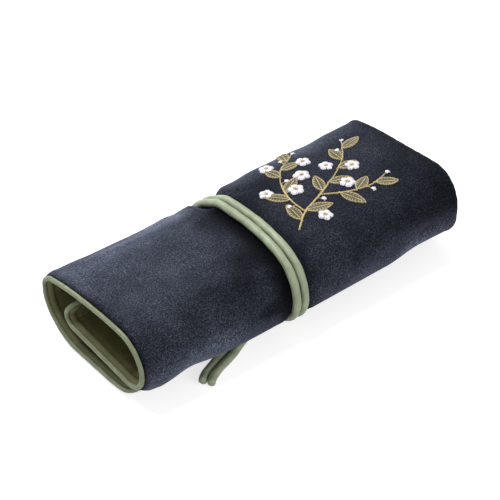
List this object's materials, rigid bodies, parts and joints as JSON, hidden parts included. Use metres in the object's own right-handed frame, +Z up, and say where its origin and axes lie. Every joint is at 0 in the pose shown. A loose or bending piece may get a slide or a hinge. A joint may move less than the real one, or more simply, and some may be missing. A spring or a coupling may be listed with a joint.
{
  "type": "rolled jewellery pouch",
  "caption": "Rolled velvet jewellery pouch with satin lining, piped edges, zip and slip pockets, a ring bolster and a satin cord tie.",
  "frame": {"origin": "under the middle of the closed roll, on the surface that it rests on", "axes": "+X along the roll to its fuller end, +Y to its folded back, +Z up"},
  "size_m": [0.23, 0.1095, 0.0542],
  "materials": {
    "velvet": "navy charcoal cotton velvet, short upright pile",
    "wadding": "bonded polyester wadding, matt off-white",
    "satin_lining": "olive satin, soft shine",
    "satin_piping": "sage satin over a cord filler, soft shine",
    "satin_tie": "sage satin rouleau, soft shine",
    "zip_tape": "woven polyester tape, matt",
    "zip_coil": "nylon coil, satin",
    "brass": "brushed and lacquered"
  },
  "bodies": {
    "flap": {"velvet_flap": "velvet", "wadding_flap": "wadding", "lining_flap": "satin_lining", "piping_left_flap": "satin_piping", "piping_right_flap": "satin_piping", "piping_flap_edge": "satin_piping", "slip_pocket": "satin_lining", "tie_tab": "satin_tie", "tie_left_strand": "satin_tie", "tie_right_strand": "satin_tie"},
    "back_wall": {"velvet_wall": "velvet", "wadding_wall": "wadding", "lining_wall": "satin_lining", "piping_left_wall": "satin_piping", "piping_right_wall": "satin_piping", "ring_bolster": "satin_piping", "bolster_sewn_tab": "satin_piping", "bolster_snap_tab": "satin_piping", "snap_stud": "brass", "snap_cap": "brass"},
    "core": {"velvet_core": "velvet", "wadding_core": "wadding", "lining_core": "satin_lining", "piping_left_core": "satin_piping", "piping_right_core": "satin_piping", "piping_inner_edge": "satin_piping", "pocket_cloth": "satin_lining", "zip_tape_rear": "zip_tape", "zip_tape_front": "zip_tape", "zip_coil_rear": "zip_coil", "zip_coil_front": "zip_coil", "zip_top_stop": "brass", "zip_bottom_stop": "brass"},
    "slider": {"zip_slider": "brass"},
    "pull": {"zip_pull": "brass"}
  },
  "joints": [
    {"name": "lower_fold", "type": "hinge", "parent": "flap", "child": "back_wall", "pos_m": [0, 0.04213, 0.00687], "axis": [-1, 0, 0], "range_deg": [0, 90], "deforming": ["tie_left_strand", "tie_right_strand"]},
    {"name": "upper_fold", "type": "hinge", "parent": "back_wall", "child": "core", "pos_m": [0, 0.04732, 0.04324], "axis": [-0.9997, 0, -0.0263], "range_deg": [0, 80]},
    {"name": "zip_slide", "type": "slide", "parent": "core", "child": "slider", "axis": [-0.9997, 0, -0.0247], "range_m": [0, 0.188]},
    {"name": "pull_swing", "type": "hinge", "parent": "slider", "child": "pull", "pos_m": [0.09409, 0.00386, 0.0393], "axis": [0.0012, 0.9988, -0.0484], "range_deg": [-75, 75]}
  ],
  "couplings": [
    {"joint": "upper_fold", "follows": "lower_fold", "ratio": 0.88889}
  ]
}
